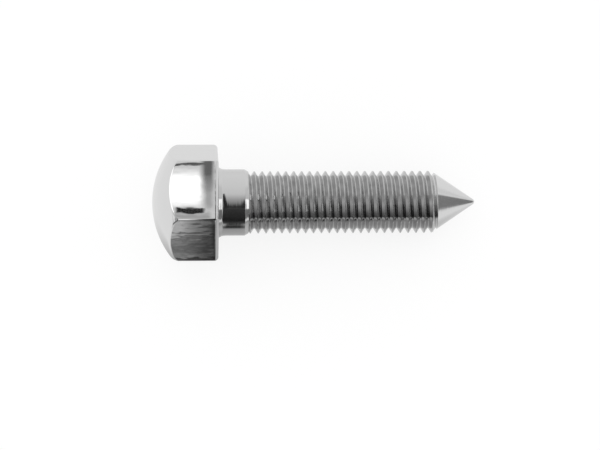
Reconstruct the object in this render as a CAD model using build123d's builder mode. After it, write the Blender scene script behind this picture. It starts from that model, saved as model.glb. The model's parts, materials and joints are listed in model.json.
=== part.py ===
from build123d import *
from math import asin, atan2, cos, hypot, radians, sin, tan
import os

# Headlight bolt, turned from hexagon bar as one piece: a polished dome on a hexagon head,
# a plain shoulder that locates the lamp bracket, a rod turned to the outer diameter of its
# fine thread, and a cone point that finds the hole. It lies as it comes to rest, on one flat
# of the head and on the edge where the thread ends and the point starts.

# Head
across_flats = 12.85
head_height = 8.1
crown_radius = 11
rim_radius = 1.5
hex_corner_round = 0.3
dome_edge_round = 0.4
bearing_edge_round = 0.5
hex_sides = 6

# Shoulder
shoulder_diameter = 8.2
shoulder_length = 3.5
underhead_fillet = 0.25
chamfer_angle = 45

# Thread and point, with the length measured from the bearing face to the tip
thread_diameter = 7.7
bolt_length = 31.75
point_angle = 68
tip_radius = 0.4

# Head sizes that follow: the crown of the dome runs into a tighter rim at the corners
flat_distance = across_flats / 2
corner_distance = flat_distance / cos(radians(180 / hex_sides))
crown_centre = crown_radius - head_height
rim_distance = corner_distance - rim_radius
rim_lean = asin(rim_distance / (crown_radius - rim_radius))
rim_centre = crown_centre - (crown_radius - rim_radius) * cos(rim_lean)
crown_end = crown_centre - crown_radius * cos(rim_lean)
crown_end_distance = crown_radius * sin(rim_lean)

# Shank sizes that follow, with each distance measured along the axis from the bearing face
shoulder_radius = shoulder_diameter / 2
thread_radius = thread_diameter / 2
thread_start = shoulder_length + (shoulder_radius - thread_radius) / tan(radians(chamfer_angle))
point_slope = radians(point_angle / 2)
tip_centre = bolt_length - tip_radius
tip_tangent = tip_centre + tip_radius * sin(point_slope)
tip_tangent_radius = tip_radius * cos(point_slope)
thread_end = tip_tangent - (thread_radius - tip_tangent_radius) / tan(point_slope)

# The lie of the bolt: a level floor touches the rounded lower edge of the bearing face
# and the end of the thread.
rest_run = thread_end + bearing_edge_round
rest_rise = flat_distance - bearing_edge_round - thread_radius
tilt = atan2(rest_rise, rest_run) + asin(bearing_edge_round / hypot(rest_run, rest_rise))
edge_height = (flat_distance - bearing_edge_round) * cos(tilt) - bearing_edge_round * sin(tilt)
rest_height = bearing_edge_round + edge_height
dome_reach = crown_centre * cos(tilt) - crown_radius
tip_reach = tip_centre * cos(tilt) + tip_radius

# Frame of the bolt, with the origin of the part under the middle of its box
bearing_centre = Vector(-(dome_reach + tip_reach) / 2, 0, rest_height)
along = Vector(cos(tilt), 0, -sin(tilt))
across = Vector(0, 1, 0)
bolt_axis = Axis(bearing_centre, along)
bearing_plane = Plane(origin=bearing_centre, x_dir=across, z_dir=along)
profile_plane = Plane(origin=bearing_centre, x_dir=along, z_dir=-across)

with BuildPart() as headlight_bolt:
    # Hexagon bar turned to a dome, with its edges softened by polishing
    with BuildSketch(bearing_plane) as hexagon:
        RegularPolygon(radius=flat_distance, side_count=hex_sides, major_radius=False)
        fillet(hexagon.vertices(), radius=hex_corner_round)
    extrude(amount=-head_height)
    with BuildSketch(profile_plane) as dome:
        with BuildLine() as dome_outline:
            crown = (-head_height, 0)
            rim_start = (crown_end, crown_end_distance)
            rim_end = (rim_centre, corner_distance)
            RadiusArc(crown, rim_start, crown_radius)
            RadiusArc(rim_start, rim_end, rim_radius)
            Polyline(rim_end, (0, corner_distance), (0, 0), crown)
        make_face()
    revolve(axis=bolt_axis, mode=Mode.INTERSECT)
    flat_faces = headlight_bolt.faces().filter_by(GeomType.PLANE)
    corner_faces = headlight_bolt.faces().filter_by(GeomType.CYLINDER)
    bearing_face = flat_faces.filter_by(bearing_plane)[0]
    side_edges = (flat_faces.edges() + corner_faces.edges()).filter_by(GeomType.LINE, reverse=True)
    fillet(side_edges - bearing_face.edges(), radius=dome_edge_round)
    bearing_face = headlight_bolt.faces().filter_by(bearing_plane).sort_by(bolt_axis)[-1]
    fillet(bearing_face.edges(), radius=bearing_edge_round)

    # Shoulder, chamfer, thread and rounded cone point, turned in one profile
    with BuildSketch(profile_plane) as shank:
        with BuildLine() as shank_outline:
            tip_start = (tip_tangent, tip_tangent_radius)
            tip_end = (bolt_length, 0)
            Polyline(
                tip_end,
                (0, 0),
                (0, shoulder_radius),
                (shoulder_length, shoulder_radius),
                (thread_start, thread_radius),
                (thread_end, thread_radius),
                tip_start,
            )
            RadiusArc(tip_start, tip_end, tip_radius)
        make_face()
    revolve(axis=bolt_axis)
    bearing_face = headlight_bolt.faces().filter_by(bearing_plane).sort_by(SortBy.AREA)[-1]
    fillet(bearing_face.inner_wires().edges(), radius=underhead_fillet)

headlight_bolt.part.label = "headlight_bolt"
os.makedirs("parts", exist_ok=True)
export_step(headlight_bolt.part, "parts/headlight_bolt.step")
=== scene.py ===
import json
from math import asin, atan2, cos, degrees, hypot, pi, radians, sin, tan

import bmesh
import bpy
from mathutils import Matrix, Vector


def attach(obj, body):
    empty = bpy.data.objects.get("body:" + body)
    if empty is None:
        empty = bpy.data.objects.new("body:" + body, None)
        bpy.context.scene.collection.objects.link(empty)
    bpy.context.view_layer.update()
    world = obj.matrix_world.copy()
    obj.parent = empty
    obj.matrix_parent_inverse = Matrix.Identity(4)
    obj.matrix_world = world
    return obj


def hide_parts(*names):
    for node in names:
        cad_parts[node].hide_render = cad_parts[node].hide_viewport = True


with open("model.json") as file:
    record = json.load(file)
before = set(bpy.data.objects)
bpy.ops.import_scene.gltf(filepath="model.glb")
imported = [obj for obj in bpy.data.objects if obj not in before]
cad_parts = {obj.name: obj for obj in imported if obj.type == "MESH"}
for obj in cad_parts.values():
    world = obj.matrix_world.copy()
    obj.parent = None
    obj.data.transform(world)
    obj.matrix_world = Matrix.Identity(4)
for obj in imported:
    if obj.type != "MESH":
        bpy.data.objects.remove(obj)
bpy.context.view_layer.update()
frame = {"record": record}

mm = 0.001

# where the bolt lies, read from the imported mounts
mounts = {mount["name"]: mount for mount in frame["record"]["mounts"]}
boltAxis = Vector(mounts["thread"]["axis"]).normalized()
threadMiddle = Vector(mounts["thread"]["pos_m"])
bearingPoint = Vector(mounts["bearing_face"]["pos_m"])
bearingCentre = threadMiddle + boltAxis * (bearingPoint - threadMiddle).dot(boltAxis)
dip = atan2(-boltAxis.z, boltAxis.x)  # the point lies lower than the head


def farEnd(mount):
    # where a round mount ends, along the bolt from the bearing face
    middle = (Vector(mount["pos_m"]) - bearingCentre).dot(boltAxis)
    return middle + mount["dims"]["length_mm"] * mm / 2


shoulderRadius = mounts["shoulder"]["dims"]["r_mm"] * mm
shoulderEnd = farEnd(mounts["shoulder"])
threadRadius = mounts["thread"]["dims"]["r_mm"] * mm
threadEnd = farEnd(mounts["thread"])
print("bolt dips", round(degrees(dip), 2), "degrees, thread ends at", round(threadEnd / mm, 2), "mm")

# points nearer than this are one
closeGap = {"turns": 0.0001 * mm, "rod": 0.0002 * mm, "bolt": 0.0005 * mm}


def pick(piece):
    bpy.ops.object.select_all(action="DESELECT")
    piece.select_set(True)
    bpy.context.view_layer.objects.active = piece


def startEditing(piece):
    pick(piece)
    bpy.ops.object.mode_set(mode="EDIT")
    bpy.ops.mesh.select_all(action="SELECT")


def stopEditing():
    bpy.ops.object.mode_set(mode="OBJECT")


def faceOutwards():
    bpy.ops.mesh.select_all(action="SELECT")
    bpy.ops.mesh.normals_make_consistent(inside=False)


def placeSelected(piece, ring):
    # the selected loop takes the ring's points, matched by their turn about the axis
    mesh = bmesh.from_edit_mesh(piece.data)
    loop = sorted((v for v in mesh.verts if v.select), key=lambda v: atan2(v.co.z, v.co.y))
    for vertex, point in zip(loop, sorted(ring, key=lambda p: atan2(p.z, p.y))):
        vertex.co = point
    bmesh.update_edit_mesh(piece.data)


def extrudeRings(name, rings):
    # one closed loop after another, as a stack of extrusions, with a cap at each end
    bpy.ops.object.select_all(action="DESELECT")
    bpy.ops.mesh.primitive_circle_add(vertices=len(rings[0]), radius=mm, rotation=(0, pi / 2, 0))
    piece = bpy.context.object
    piece.name = name
    bpy.ops.object.transform_apply(location=True, rotation=True, scale=True)
    startEditing(piece)
    placeSelected(piece, rings[0])
    bpy.ops.mesh.edge_face_add()
    bpy.ops.mesh.select_all(action="SELECT")
    for ring in rings[1:]:
        bpy.ops.mesh.extrude_edges_move()
        placeSelected(piece, ring)
    bpy.ops.mesh.edge_face_add()
    faceOutwards()
    stopEditing()
    return piece


def drawOutline(name, points):
    # a chain of edges from one point to the next
    bpy.ops.object.select_all(action="DESELECT")
    bpy.ops.mesh.primitive_plane_add(size=mm, location=points[0])
    outline = bpy.context.object
    outline.name = name
    bpy.ops.object.transform_apply(location=True, rotation=True, scale=True)
    startEditing(outline)
    bpy.ops.mesh.merge(type="CENTER")
    for start, end in zip(points, points[1:]):
        bpy.ops.mesh.extrude_region_move(TRANSFORM_OT_translate={"value": end - start})
    stopEditing()
    return outline


def cutWith(piece, tool, operation):
    pick(piece)
    boolean = piece.modifiers.new(operation.lower(), "BOOLEAN")
    boolean.operation = operation
    boolean.solver = "EXACT"
    boolean.object = tool
    bpy.ops.object.modifier_apply(modifier=boolean.name)
    bpy.data.objects.remove(tool)


def spread(low, high, steps):
    return [low + (high - low) * step / steps for step in range(steps + 1)]


# the head and the shoulder, from the crown of the dome to the chamfer
head = {
    "acrossFlats": 12.85 * mm,
    "height": 8.1 * mm,
    "crownArc": 11 * mm,
    "rimArc": 1.5 * mm,
    "cornerRound": 0.3 * mm,
    "domeEdgeRound": 0.45 * mm,
    "bearingEdgeRound": 0.5 * mm,
    "neckLength": 0.46 * mm,  # cone under the head
    "neckSlope": radians(29),
    "neckShares": (0.08, 0.85),  # loops that keep the cone straight
    "flareEnd": 1.15 * mm,
    "flareSlope": radians(9.5),
    "crownRadius": 0.05 * mm,  # small cap in the middle of the dome
    "crownSpan": radians(32),
    "chamferFoot": 3.1 * mm,  # radius where the chamfer is out of sight in the thread
    "chamferSlope": radians(29),
    "chamferLead": 0.25 * mm,
    "runoutSlope": radians(60),
    "shoulderEdgeRound": 0.08 * mm,
    "sides": 6,
    "flatSteps": 22,
    "cornerSteps": 10,
    "crownSteps": 24,
    "rimSteps": 12,
    "domeEdgeSteps": 8,
    "sideSteps": 5,
    "bearingEdgeSteps": 7,
    "bearingSteps": 6,
    "flareSteps": 6,
    "shoulderSteps": 4,
    "shoulderEdgeSteps": 3,
    "chamferSteps": 2,
    "runoutSteps": 3,
}


def hexagonColumns():
    # turn and radius of each column of points round the rounded hexagon
    flatDistance = head["acrossFlats"] / 2
    halfTurn = pi / head["sides"]
    roundCentre = (flatDistance - head["cornerRound"]) / cos(halfTurn)
    flatHalf = roundCentre * sin(halfTurn)
    columns = []
    for side in range(head["sides"]):
        turn = side * 2 * halfTurn
        for along in spread(-flatHalf, flatHalf, head["flatSteps"])[:-1]:
            columns.append((turn + atan2(along, flatDistance), hypot(along, flatDistance)))
        for lean in spread(0, 2 * halfTurn, head["cornerSteps"])[:-1]:
            x = roundCentre * cos(halfTurn) + head["cornerRound"] * cos(lean)
            y = roundCentre * sin(halfTurn) + head["cornerRound"] * sin(lean)
            columns.append((turn + atan2(y, x), hypot(x, y)))
    return columns


def domeOutline(reach):
    # from the crown, over the softened edge and down the side to the bearing face
    crownArc = head["crownArc"]
    rimArc = head["rimArc"]
    edge = head["domeEdgeRound"]
    crownCentre = crownArc - head["height"]
    rimReach = head["acrossFlats"] / 2 / cos(pi / head["sides"]) - rimArc
    rimLean = asin(rimReach / (crownArc - rimArc))
    rimCentre = crownCentre - (crownArc - rimArc) * cos(rimLean)
    edgeReach = reach - edge
    if edgeReach < rimReach + (rimArc - edge) * sin(rimLean):  # the edge meets the crown
        edgeLean = asin(edgeReach / (crownArc - edge))
        edgeCentre = crownCentre - (crownArc - edge) * cos(edgeLean)
    else:  # near a corner it meets the rim
        edgeLean = asin((edgeReach - rimReach) / (rimArc - edge))
        edgeCentre = rimCentre - (rimArc - edge) * cos(edgeLean)
    leans = spread(asin(head["crownRadius"] / crownArc), head["crownSpan"], head["crownSteps"])
    leans += spread(head["crownSpan"], edgeLean, head["rimSteps"])[1:]
    outline = []
    for lean in leans:
        if lean < rimLean:
            outline.append((crownCentre - crownArc * cos(lean), crownArc * sin(lean)))
        else:
            outline.append((rimCentre - rimArc * cos(lean), rimReach + rimArc * sin(lean)))
    for lean in spread(edgeLean, pi / 2, head["domeEdgeSteps"])[1:]:
        outline.append((edgeCentre - edge * cos(lean), edgeReach + edge * sin(lean)))
    rim = head["bearingEdgeRound"]
    for along in spread(edgeCentre, -rim, head["sideSteps"])[1:]:
        outline.append((along, reach))
    for lean in spread(0, pi / 2, head["bearingEdgeSteps"])[1:]:
        outline.append((-rim + rim * sin(lean), reach - rim + rim * cos(lean)))
    return outline


def shoulderOutline(bearingReach):
    # across the bearing face, down the cone and the flare, and along the shoulder to its chamfer
    outline = []
    flare = (head["flareEnd"] - head["neckLength"]) / sin(head["flareSlope"])
    neckFoot = shoulderRadius + flare * (1 - cos(head["flareSlope"]))
    neckRadius = neckFoot + head["neckLength"] * tan(head["neckSlope"])
    for radius in spread(bearingReach, neckRadius, head["bearingSteps"])[1:]:
        outline.append((0, radius))
    for share in head["neckShares"]:
        along = share * head["neckLength"]
        outline.append((along, neckRadius - along * tan(head["neckSlope"])))
    for lean in spread(head["flareSlope"], 0, head["flareSteps"]):
        outline.append((head["flareEnd"] - flare * sin(lean), shoulderRadius + flare * (1 - cos(lean))))
    bend = head["shoulderEdgeRound"]
    slope = head["chamferSlope"]
    bendStart = shoulderEnd - head["chamferLead"] - bend * tan(slope / 2)
    for along in spread(head["flareEnd"], bendStart, head["shoulderSteps"])[1:]:
        outline.append((along, shoulderRadius))
    for lean in spread(0, slope, head["shoulderEdgeSteps"])[1:]:
        outline.append((bendStart + bend * sin(lean), shoulderRadius - bend + bend * cos(lean)))
    start, radius = outline[-1]
    for foot in spread(radius, threadRadius, head["chamferSteps"])[1:]:
        outline.append((start + (radius - foot) / tan(slope), foot))
    start, radius = outline[-1]
    for foot in spread(radius, head["chamferFoot"], head["runoutSteps"])[1:]:
        outline.append((start + (radius - foot) / tan(head["runoutSlope"]), foot))
    return outline


def buildHead():
    columns = hexagonColumns()
    profiles = []  # distance from the bearing face and radius, for each column
    for turn, reach in columns:
        profiles.append(domeOutline(reach) + shoulderOutline(reach - head["bearingEdgeRound"]))
    rings = []
    for station in range(len(profiles[0])):
        ring = []
        for (turn, reach), profile in zip(columns, profiles):
            along, radius = profile[station]
            ring.append(Vector((along, radius * sin(turn), radius * cos(turn))))
        rings.append(ring)
    return extrudeRings("boltHead", rings)


boltHead = buildHead()
print("head and shoulder:", len(boltHead.data.polygons), "faces")

# the fine thread, cut all along a rod that the cone of the point then trims
thread = {
    "pitch": 0.9769 * mm,
    "depth": 0.586 * mm,
    "halfAngle": radians(33),
    "crestRound": 0.06 * mm,
    "rootRound": 0.06 * mm,
    "roundSteps": 3,
    "crestAt": 4.433 * mm,  # crest on the far side, from the bearing face
    "rodStart": 2.6 * mm,  # hidden in the shoulder
    "leadTurns": 1.5,  # drawn before the rod starts, then cut off
    "spareTurns": 3,
    "stepsPerTurn": 128,
    "flankShares": (0.1, 0.9),  # loops that keep the flank straight beside its rounds
}
point = {
    "halfAngle": radians(34),
    "tipRound": 0.4 * mm,
    "length": 31.75 * mm,  # from the bearing face to the tip
    "clearRadius": 4.6 * mm,  # outside the thread
    "lead": 1 * mm,
    "spare": 0.3 * mm,
    "steps": 192,
    "coneSteps": 24,
    "tipSteps": 8,
}


def toothOutline(start):
    # one turn's outline: rounded root, flank, rounded crest, flank and rounded root
    slope = thread["halfAngle"]
    crest = thread["crestRound"]
    root = thread["rootRound"]
    crestCentre = threadRadius - crest
    rootCentre = threadRadius - thread["depth"] + root
    rise = crestCentre - rootCentre + (crest + root) / sin(slope)
    run = rise * tan(slope)  # along the bolt, from a root's centre to a crest's
    half = thread["pitch"] / 2
    slack = half - run  # left over for the flats of root and crest
    crestFlat = slack / 2
    points = []
    for lean in spread(0, pi / 2 - slope, thread["roundSteps"]):
        points.append((start + slack - crestFlat + root * sin(lean), rootCentre - root * cos(lean)))
    crestPoints = []
    for lean in spread(pi / 2 - slope, 0, thread["roundSteps"]):
        crestPoints.append((start + half - crestFlat - crest * sin(lean), crestCentre + crest * cos(lean)))
    low = Vector(points[-1])
    high = Vector(crestPoints[0])
    points += [tuple(low.lerp(high, share)) for share in thread["flankShares"]] + crestPoints
    mirrored = [(2 * (start + half) - along, radius) for along, radius in reversed(points)]
    return points + mirrored


def buildRod():
    pitch = thread["pitch"]
    turns = int((point["length"] - thread["rodStart"]) / pitch) + thread["spareTurns"]
    back = int((thread["crestAt"] - thread["rodStart"]) / pitch) + thread["leadTurns"]
    start = thread["crestAt"] - back * pitch
    tooth = toothOutline(start - pitch)
    tooth.append((tooth[0][0] + pitch, tooth[0][1]))
    rod = drawOutline("threadRod", [Vector((along, radius, 0)) for along, radius in tooth])
    screw = rod.modifiers.new("turns", "SCREW")
    screw.axis = "X"
    screw.angle = 2 * pi
    screw.screw_offset = pitch
    screw.iterations = turns
    screw.steps = thread["stepsPerTurn"]
    screw.render_steps = thread["stepsPerTurn"]
    screw.use_merge_vertices = True
    screw.merge_threshold = closeGap["turns"]
    bpy.ops.object.modifier_apply(modifier=screw.name)
    startEditing(rod)
    bpy.ops.mesh.remove_doubles(threshold=closeGap["rod"])
    cuts = ((thread["rodStart"], True), (point["length"] + point["spare"], False))
    for along, inner in cuts:
        bpy.ops.mesh.select_all(action="SELECT")
        bpy.ops.mesh.bisect(
            plane_co=(along, 0, 0), plane_no=(1, 0, 0), use_fill=True,
            clear_inner=inner, clear_outer=not inner, threshold=closeGap["turns"],
        )
    faceOutwards()
    stopEditing()
    return rod


def buildPoint():
    # a bar round the whole rod that narrows to the cone and its rounded tip
    slope = point["halfAngle"]
    tip = point["tipRound"]
    tipCentre = point["length"] - tip
    tangent = tipCentre + tip * sin(slope)
    wide = tangent - (point["clearRadius"] - tip * cos(slope)) / tan(slope)
    start = thread["rodStart"] - point["lead"]
    outline = [(start, 0), (start, point["clearRadius"]), (wide, point["clearRadius"])]
    for along in spread(wide, tangent, point["coneSteps"])[1:]:
        outline.append((along, point["clearRadius"] - (along - wide) * tan(slope)))
    for lean in spread(slope, pi / 2, point["tipSteps"])[1:]:
        outline.append((tipCentre + tip * sin(lean), tip * cos(lean)))
    cone = drawOutline("pointCone", [Vector((along, radius, 0)) for along, radius in outline])
    startEditing(cone)
    bpy.ops.mesh.spin(steps=point["steps"], angle=2 * pi, center=(0, 0, 0), axis=(1, 0, 0))
    bpy.ops.mesh.select_all(action="SELECT")
    bpy.ops.mesh.remove_doubles(threshold=closeGap["rod"])
    faceOutwards()
    stopEditing()
    return cone


bolt = buildRod()
print("thread:", len(bolt.data.polygons), "faces")
cutWith(bolt, buildPoint(), "INTERSECT")
print("point:", len(bolt.data.polygons), "faces")
cutWith(bolt, boltHead, "UNION")
print("bolt joined:", len(bolt.data.polygons), "faces")

# the joined bolt, laid in its place and cleaned up
joined = {
    "name": "headlightBolt",
    "splitSides": 4,  # faces with more sides than this are split evenly
    "smoothAngle": radians(30),
}
bolt.name = joined["name"]
bolt.location = bearingCentre
bolt.rotation_euler = (0, dip, 0)
pick(bolt)
bpy.ops.object.transform_apply(location=True, rotation=True, scale=True)
startEditing(bolt)
bpy.ops.mesh.remove_doubles(threshold=closeGap["bolt"])
bpy.ops.mesh.dissolve_degenerate(threshold=closeGap["bolt"])
bpy.ops.mesh.select_mode(type="FACE")
bpy.ops.mesh.select_face_by_sides(number=joined["splitSides"], type="GREATER", extend=False)
bpy.ops.mesh.quads_convert_to_tris(quad_method="BEAUTY", ngon_method="BEAUTY")
faceOutwards()
stopEditing()
bpy.ops.object.shade_smooth_by_angle(angle=joined["smoothAngle"])
evenNormals = bolt.modifiers.new("evenNormals", "WEIGHTED_NORMAL")
evenNormals.keep_sharp = True
bpy.ops.object.modifier_apply(modifier=evenNormals.name)
print("bolt laid down:", len(bolt.data.polygons), "faces")

# the camera stands where the photograph was taken
view = {
    "turn": radians(9.8),
    "rise": radians(76.54),
    "roll": radians(-11),
    "distance": 309 * mm,
    "lens": 147.58,
    "right": -1.897 * mm,
    "up": -1.629 * mm,
    "clipStart": 10 * mm,
}


def spherical(turn, rise):
    return Vector((sin(turn) * cos(rise), -cos(turn) * cos(rise), sin(rise)))


def setCamera():
    toCamera = spherical(view["turn"], view["rise"])
    flatRight = Vector((0, 0, 1)).cross(toCamera).normalized()
    flatUp = toCamera.cross(flatRight)
    imageRight = flatRight * cos(view["roll"]) + flatUp * sin(view["roll"])
    imageUp = flatUp * cos(view["roll"]) - flatRight * sin(view["roll"])
    aim = imageRight * view["right"] + imageUp * view["up"]
    place = aim + toCamera * view["distance"]
    cameraData = bpy.data.cameras.new("camera")
    cameraData.lens = view["lens"]
    cameraData.clip_start = view["clipStart"]
    camera = bpy.data.objects.new("camera", cameraData)
    bpy.context.scene.collection.objects.link(camera)
    turned = Matrix((imageRight, imageUp, toCamera)).transposed().to_4x4()
    camera.matrix_world = Matrix.Translation(place) @ turned
    bpy.context.scene.camera = camera
    return place


cameraPlace = setCamera()
bpy.context.scene.view_settings.view_transform = "Standard"
print("camera stands", round(view["distance"] / mm), "mm off")


def addNode(tree, kind, **settings):
    node = tree.nodes.new(kind)
    for name, value in settings.items():
        setattr(node, name, value)
    return node


def feed(tree, socket, value):
    # a number is set on the socket, and another node's output is linked to it
    if isinstance(value, (int, float)):
        socket.default_value = value
    else:
        tree.links.new(value, socket)


def calculate(tree, operation, *values):
    node = addNode(tree, "ShaderNodeMath", operation=operation)
    for socket, value in zip(node.inputs, values):
        feed(tree, socket, value)
    return node.outputs[0]


def blend(tree, share, first, second):
    node = addNode(tree, "ShaderNodeMix", data_type="FLOAT")
    for name, value in (("Factor", share), ("A", first), ("B", second)):
        feed(tree, next(s for s in node.inputs if s.name == name and s.type == "VALUE"), value)
    return node.outputs["Result"]


def ramp(tree, source, stops):
    # grey values set out along a source's own units
    low = stops[0][0]
    high = stops[-1][0]
    scaled = addNode(tree, "ShaderNodeMapRange")
    tree.links.new(source, scaled.inputs["Value"])
    scaled.inputs["From Min"].default_value = low
    scaled.inputs["From Max"].default_value = high
    greys = addNode(tree, "ShaderNodeValToRGB")
    tree.links.new(scaled.outputs["Result"], greys.inputs["Fac"])
    elements = greys.color_ramp.elements
    while len(elements) < len(stops):
        elements.new(0.5)  # its real place comes next
    for element, (place, grey) in zip(elements, stops):
        element.position = (place - low) / (high - low)
    for element, (place, grey) in zip(elements, stops):
        element.color = (grey, grey, grey, 1)
    return greys.outputs["Color"]


def noise(tree, vector, scale, detail):
    node = addNode(tree, "ShaderNodeTexNoise")
    tree.links.new(vector, node.inputs["Vector"])
    node.inputs["Scale"].default_value = scale
    node.inputs["Detail"].default_value = detail
    return node.outputs["Fac"]


def bump(tree, height, distance, normal=None):
    node = addNode(tree, "ShaderNodeBump")
    node.inputs["Distance"].default_value = distance
    tree.links.new(height, node.inputs["Height"])
    if normal:
        tree.links.new(normal, node.inputs["Normal"])
    return node.outputs["Normal"]


def objectPlace(tree):
    return addNode(tree, "ShaderNodeTexCoord").outputs["Object"]


def placeInMm(tree, origin=(0, 0, 0), turn=(0, 0, 0)):
    # where a spot is in millimetres, from an origin and a turn
    place = addNode(tree, "ShaderNodeMapping", vector_type="TEXTURE")
    tree.links.new(objectPlace(tree), place.inputs["Vector"])
    place.inputs["Location"].default_value = origin
    place.inputs["Rotation"].default_value = turn
    place.inputs["Scale"].default_value = (mm, mm, mm)
    return place.outputs["Vector"]


def axes(tree, vector):
    split = addNode(tree, "ShaderNodeSeparateXYZ")
    tree.links.new(vector, split.inputs["Vector"])
    return split.outputs


def inReflections(tree):
    return addNode(tree, "ShaderNodeLightPath").outputs["Is Glossy Ray"]


def startMaterial(name):
    material = bpy.data.materials.new(name)
    material.use_nodes = True
    return material, material.node_tree, material.node_tree.nodes["Principled BSDF"]


# bright plating, laid out along the bolt in millimetres from the bearing face
plating = {
    "color": [
        (-9, 0.74), (-0.3, 0.74), (0, 0.65), (3.5, 0.65), (4, 0.58), (26, 0.58), (26.6, 0.72), (32, 0.72),
    ],
    "roughness": [
        (-9, 0.07), (-0.3, 0.07), (0, 0.1), (3.5, 0.1), (4, 0.06), (26, 0.06), (26.6, 0.15), (32, 0.15),
    ],
    "threaded": [(-9, 0), (3.5, 0), (4, 1), (26, 1), (26.6, 0), (32, 0)],
    "dulled": [(0.3, 0.78), (0.7, 1)],  # the thread's plating is patchy
    "dullScale": 0.9,
    "dullDetail": 4,
    "waves": [(-9, 1), (-0.4, 1), (0, 0), (3.5, 0), (4.2, 0.25), (26, 0.25), (26.6, 0), (32, 0)],
    "waveStretch": (0.3, 0.6, 0.6),
    "waveScale": 1,
    "waveDetail": 2,
    "waveHeight": 0.036 * mm,  # left by polishing
    "rings": [(-9, 0), (-0.1, 0), (0.3, 0.5), (3.6, 0.5), (4, 0.2), (26, 0.2), (26.6, 1), (32, 1)],
    "ringScale": 5,
    "ringDetail": 2,
    "ringHeight": 0.012 * mm,  # left by turning
}


def platingMaterial():
    material, tree, shader = startMaterial("brightPlating")
    shader.inputs["Metallic"].default_value = 1
    place = placeInMm(tree, bearingCentre, (0, dip, 0))
    along = axes(tree, place)["X"]
    patches = noise(tree, place, plating["dullScale"], plating["dullDetail"])
    dulled = blend(tree, ramp(tree, along, plating["threaded"]), 1, ramp(tree, patches, plating["dulled"]))
    color = calculate(tree, "MULTIPLY", ramp(tree, along, plating["color"]), dulled)
    tree.links.new(color, shader.inputs["Base Color"])
    tree.links.new(ramp(tree, along, plating["roughness"]), shader.inputs["Roughness"])
    stretch = addNode(tree, "ShaderNodeMapping")
    tree.links.new(place, stretch.inputs["Vector"])
    stretch.inputs["Scale"].default_value = plating["waveStretch"]
    waves = noise(tree, stretch.outputs["Vector"], plating["waveScale"], plating["waveDetail"])
    waves = calculate(tree, "MULTIPLY", waves, ramp(tree, along, plating["waves"]))
    ringPlace = addNode(tree, "ShaderNodeCombineXYZ")
    tree.links.new(along, ringPlace.inputs["X"])
    rings = noise(tree, ringPlace.outputs["Vector"], plating["ringScale"], plating["ringDetail"])
    rings = calculate(tree, "MULTIPLY", rings, ramp(tree, along, plating["rings"]))
    polished = bump(tree, waves, plating["waveHeight"])
    turned = bump(tree, rings, plating["ringHeight"], polished)
    tree.links.new(turned, shader.inputs["Normal"])
    return material


bolt.data.materials.clear()
bolt.data.materials.append(platingMaterial())
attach(bolt, "root")
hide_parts("headlight_bolt")
print("bolt plated")

# the studio round the bolt, as its reflections show it: white walls, and a dark side low in front
studio = {
    "swing": [
        (-180, 0.8), (-90, 0.9), (-45, 0.85), (-15, 0.77), (5, 0.45), (22, 0.25), (29, 0.12),
        (36, 0.04), (81, 0.012), (90, 0.05), (110, 0.3), (180, 0.9),
    ],  # degrees from overhead towards the front
    "side": [
        (-90, 1), (-72, 1), (-58, 0.8), (-50, 0.2), (-44, 0), (48, 0), (54, 0.35), (62, 0.35), (70, 1),
        (90, 1),
    ],  # degrees towards the point, where the walls take over
    "walls": [(-90, 0.85), (-60, 0.95), (0, 0.95), (20, 0.5), (60, 0.5), (72, 0.95), (90, 0.95)],
    "gaps": [
        (-90, 0), (-56, 0), (-48, 0.6), (-36, 0.6), (-28, 0), (30, 0), (38, 1), (50, 1), (57, 0), (90, 0),
    ],  # degrees towards the point, where light for the thread's flanks comes past the dark side
    "gapLight": [
        (-180, 0), (-15, 0.8), (23, 1), (39, 0.85), (56, 0.6), (73, 0.3), (92, 0.22), (120, 0), (180, 0),
    ],  # degrees from overhead towards the front
}


def studioWorld():
    world = bpy.data.worlds.new("studio")
    bpy.context.scene.world = world
    world.use_nodes = True
    tree = world.node_tree
    looking = axes(tree, objectPlace(tree))
    lean = calculate(tree, "DEGREES", calculate(tree, "ARCSINE", looking["X"]))
    front = calculate(tree, "MULTIPLY", looking["Y"], -1)
    swing = calculate(tree, "DEGREES", calculate(tree, "ARCTAN2", front, looking["Z"]))
    middle = ramp(tree, swing, studio["swing"])
    walls = ramp(tree, lean, studio["walls"])
    room = blend(tree, ramp(tree, lean, studio["side"]), middle, walls)
    gaps = ramp(tree, lean, studio["gaps"])
    gaps = calculate(tree, "MULTIPLY", gaps, ramp(tree, swing, studio["gapLight"]))
    room = calculate(tree, "MAXIMUM", room, gaps)
    tree.links.new(blend(tree, inReflections(tree), 1, room), tree.nodes["Background"].inputs["Color"])


studioWorld()
print("studio lit")

# pale floor, white to the camera apart from the bolt's soft shadow; to reflections it glows with painted
# dark strips and painted shade
floor = {
    "size": 3,
    "glow": 0.8,
    "paint": 0.21,
    "front": [
        (-80, 0.1), (-60, 0.48), (-55, 0.48), (-53.5, 0.03), (-52, 0.55), (-42, 0.5), (-39.5, 0.03),
        (-38, 0.32), (-34, 0.14), (-31, 0.26), (-29.5, 0.45), (-28.6, 0.05), (-26, 0.1), (-17, 0.4),
        (-6, 0.5), (0, 0.85), (60, 0.9),
    ],  # painted reflection: what reflections show of it, by millimetres towards the back
    "shade": [
        (-60, 1), (-17, 1), (-13.5, 0.32), (-11.5, 0.32), (-10, 0.14), (-4, 0.14), (-2.5, 1), (60, 1),
    ],  # painted shade, darker in front of the shoulder, by millimetres towards the point
    "unshaded": [(-60, 0), (-26, 0), (-17, 1), (60, 1)],  # but not close to the bolt
    "behindHead": [(-60, 1), (-28, 1), (-20, 0), (60, 0)],  # white past both ends of the bolt
    "ahead": [(-60, 0), (-9, 0), (-5, 0.3), (18, 0.3), (26, 1), (60, 1)],
    "near": [(-300, 0), (-110, 0.2), (-60, 0.9), (-40, 1), (60, 1)],  # and not far in front
    "white": 0.9,
}


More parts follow.
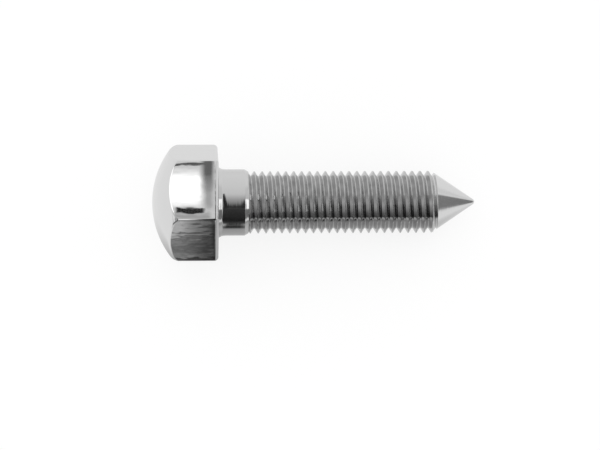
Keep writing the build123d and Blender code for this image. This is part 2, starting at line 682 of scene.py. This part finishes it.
def floorMaterial():
    material, tree, shader = startMaterial("floorPaintAndPaintedReflection")
    shader.inputs["Specular IOR Level"].default_value = 0
    shader.inputs["Emission Color"].default_value = (1, 1, 1, 1)
    place = axes(tree, placeInMm(tree))
    unshaded = ramp(tree, place["Y"], floor["unshaded"])
    shade = calculate(tree, "MAXIMUM", ramp(tree, place["X"], floor["shade"]), unshaded)
    front = calculate(tree, "MULTIPLY", ramp(tree, place["Y"], floor["front"]), shade)
    ahead = ramp(tree, place["X"], floor["ahead"])
    ends = calculate(tree, "MAXIMUM", ahead, ramp(tree, place["X"], floor["behindHead"]))
    pale = calculate(tree, "MULTIPLY", ends, ramp(tree, place["Y"], floor["near"]))
    shown = blend(tree, pale, front, floor["white"])
    # reflections see only a glow of painted dark strips and painted shade; the camera and other rays see
    # the even paint and glow
    mirrored = inReflections(tree)
    tree.links.new(blend(tree, mirrored, floor["paint"], 0), shader.inputs["Base Color"])
    tree.links.new(blend(tree, mirrored, floor["glow"], shown), shader.inputs["Emission Strength"])
    return material


bpy.ops.object.select_all(action="DESELECT")
bpy.ops.mesh.primitive_plane_add(size=floor["size"], location=(0, 0, 0))
floorPlane = bpy.context.object
floorPlane.name = "floor"
floorPlane.data.materials.append(floorMaterial())
print("floor laid")

# cards that only the polished metal sees, each over the spot where the head's top flat shows it to
# the camera: millimetres along and across that flat, and how much of each edge fades
cards = {
    "overHead": {
        "along": (-18, -1.2), "across": (-2.75, 2.85), "height": 8, "soft": (1.3, 1.6), "light": 1.6,
    },
    "lowerStrip": {
        "along": (-5.6, -1.6), "across": (-2.95, -2.22), "height": 5, "soft": (0.4, 0.1), "light": 0.02,
    },
    "upperStrip": {
        "along": (-6.5, -0.6), "across": (3.1, 3.6), "height": 5, "soft": (0.1, 0.1), "light": 0.1,
    },
    "sideStrip": {
        "along": (-2.4, 0.2), "across": (-0.6, 7.2), "height": 5, "soft": (0.8, 2.6), "light": 0.15,
    },
    "sideFade": {
        "along": (-2.3, 0.1), "across": (-2.8, 2), "height": 5.4, "soft": (0.9, 0.9), "light": 0.46,
    },
    "lowerFade": {
        "along": (-7, -0.4), "across": (-4.1, -2.6), "height": 5.4, "soft": (0.8, 0.8), "light": 0.38,
    },
    "edgeCard": {
        "along": (-18, -7), "across": (-4.5, 5), "height": 8, "soft": (0.5, 0.5), "light": 1.5,
    },
}
# cards further off, in millimetres from the middle of the floor: a light for the flat's lower edge,
# a grey one for the point, a light for both ends of the shoulder and a dark one for its side
farCards = {
    "edgeLight": {
        "place": (-16, -12.5, 21), "aim": (-16, -3.7, 12.8), "size": (8, 14), "soft": (2, 2),
        "light": 1, "roll": 0,
    },
    "pointFlag": {
        "place": (150, -10, 15), "aim": (0, 0, 0), "size": (70, 100), "soft": (5, 5),
        "light": 0.2, "roll": 34,
    },
    "sparkCard": {
        "place": (131, -28, 61), "aim": (0, 0, 0), "size": (36, 76), "soft": (5, 5),
        "light": 1.5, "roll": 0,
    },
    "shoulderFlag": {
        "place": (38, -24, 147), "aim": (0, 0, 0), "size": (46, 146), "soft": (8, 8),
        "light": 0.02, "roll": 17,
    },
}


def cardMaterial(name, size, soft, light):
    # an even light that fades to nothing at the edges of the card
    material, tree, shader = startMaterial(name)
    shader.inputs["Base Color"].default_value = (0, 0, 0, 1)
    shader.inputs["Specular IOR Level"].default_value = 0
    shader.inputs["Emission Color"].default_value = (1, 1, 1, 1)
    shader.inputs["Emission Strength"].default_value = light
    place = axes(tree, objectPlace(tree))
    edge = 0.5  # the card is one unit wide before it is scaled
    margins = []
    for axis, length, fade in zip("XY", size, soft):
        middle = calculate(tree, "ABSOLUTE", place[axis])
        margins.append(ramp(tree, middle, [(0, 1), (edge - fade * mm / length, 1), (edge, 0)]))
    tree.links.new(calculate(tree, "MULTIPLY", *margins), shader.inputs["Alpha"])
    return material


def hangCard(name, place, facing, size, card, roll=0):
    bpy.ops.object.select_all(action="DESELECT")
    bpy.ops.mesh.primitive_plane_add(size=1, location=place)
    plane = bpy.context.object
    plane.name = name
    wide = (Vector((1, 0, 0)) - facing * facing.x).normalized()
    turned = Matrix((wide, facing.cross(wide), facing)).transposed()
    plane.rotation_euler = (turned @ Matrix.Rotation(roll, 3, "Z")).to_euler()
    plane.scale = (size[0], size[1], 1)
    plane.data.materials.append(cardMaterial(name, size, card["soft"], card["light"]))
    plane.visible_camera = False
    plane.visible_shadow = False
    plane.visible_diffuse = False


def hangOverHead(name, card):
    near, far = card["along"]
    low, high = card["across"]
    flatNormal = Vector((sin(dip), 0, cos(dip)))
    spot = bearingCentre + boltAxis * ((near + far) / 2 * mm) + flatNormal * (head["acrossFlats"] / 2)
    spot += Vector((0, (low + high) / 2 * mm, 0))
    toCamera = (cameraPlace - spot).normalized()
    mirrored = flatNormal * (2 * flatNormal.dot(toCamera)) - toCamera
    size = ((far - near) * mm, (high - low) * mm)
    hangCard(name, spot + mirrored * (card["height"] * mm), flatNormal, size, card)


def hangFarOff(name, card):
    place = Vector(card["place"]) * mm
    facing = (Vector(card["aim"]) * mm - place).normalized()
    size = [length * mm for length in card["size"]]
    hangCard(name, place, facing, size, card, radians(card["roll"]))


for name, card in cards.items():
    hangOverHead(name, card)
for name, card in farCards.items():
    hangFarOff(name, card)
print("cards hung:", len(cards) + len(farCards))
